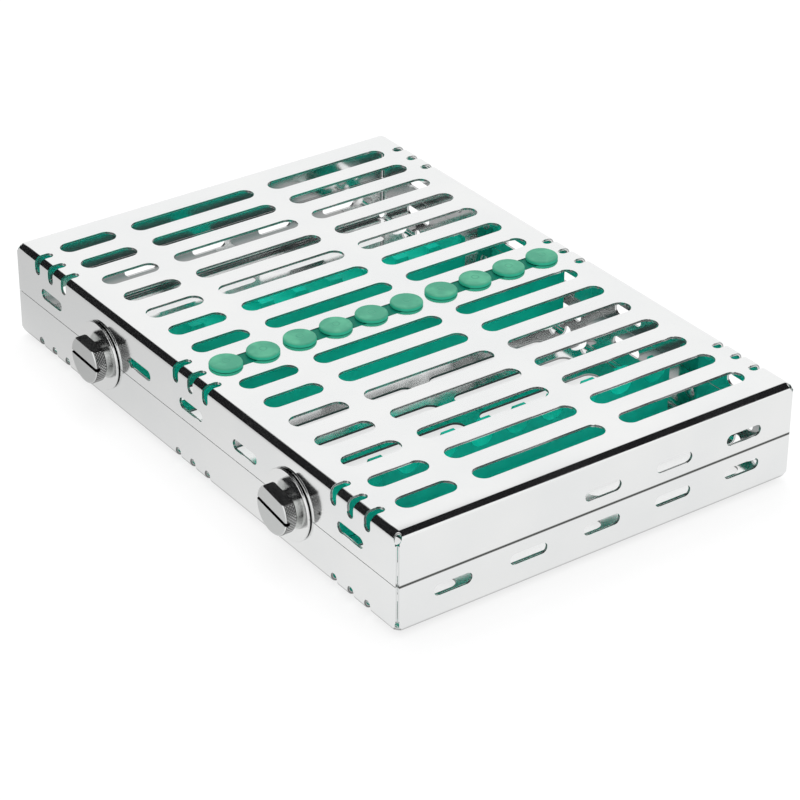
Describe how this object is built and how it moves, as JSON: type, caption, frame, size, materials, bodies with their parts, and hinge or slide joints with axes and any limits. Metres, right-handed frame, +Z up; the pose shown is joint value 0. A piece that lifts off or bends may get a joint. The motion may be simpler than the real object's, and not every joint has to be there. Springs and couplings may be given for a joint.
{
  "type": "sterilization container",
  "caption": "Perforated stainless cassette with hinged lid, silicone instrument rails and turn-knob latches, for holding instruments during sterilization.",
  "frame": {"origin": "centre of the closed cassette's footprint, on the surface it stands on", "axes": "+X along the long side to the right seen from the latches, +Y from the latches to the hinges, +Z up"},
  "size_m": [0.208, 0.1537, 0.0346],
  "materials": {
    "tray_steel": "polished stainless sheet",
    "knob_steel": "turned stainless, knurled rim",
    "fitting_steel": "plain stainless",
    "silicone": "satin moulded silicone, teal"
  },
  "bodies": {
    "base": {"base_tray": "tray_steel", "base_rail_left": "silicone", "base_rail_right": "silicone", "hinge_base_rivets": "fitting_steel", "latch_bracket_left": "fitting_steel", "latch_bush_left": "fitting_steel", "hinge_base_leaf_left": "fitting_steel", "hinge_pin_left": "fitting_steel", "latch_bracket_right": "fitting_steel", "latch_bush_right": "fitting_steel", "hinge_base_leaf_right": "fitting_steel", "hinge_pin_right": "fitting_steel"},
    "lid": {"lid_tray": "tray_steel", "lid_rail": "silicone", "hinge_lid_rivets": "fitting_steel", "hinge_lid_leaf_left": "fitting_steel", "hinge_lid_leaf_right": "fitting_steel"},
    "knob_left": {"knob_left": "knob_steel", "clamp_washer_left": "knob_steel", "spindle_left": "fitting_steel", "thrust_washer_left": "fitting_steel", "lock_nut_left": "fitting_steel"},
    "knob_right": {"knob_right": "knob_steel", "clamp_washer_right": "knob_steel", "spindle_right": "fitting_steel", "thrust_washer_right": "fitting_steel", "lock_nut_right": "fitting_steel"}
  },
  "joints": [
    {"name": "lid_hinge", "type": "hinge", "parent": "base", "child": "lid", "pos_m": [0, 0.0739, 0.0167], "axis": [-1, 0, 0], "range_deg": [0, 175]},
    {"name": "knob_left_turn", "type": "hinge", "parent": "base", "child": "knob_left", "pos_m": [-0.052, -0.071, 0.0167], "axis": [0, -1, 0], "range_deg": [0, 90]},
    {"name": "knob_right_turn", "type": "hinge", "parent": "base", "child": "knob_right", "pos_m": [0.052, -0.071, 0.0167], "axis": [0, -1, 0], "range_deg": [0, 90]}
  ]
}
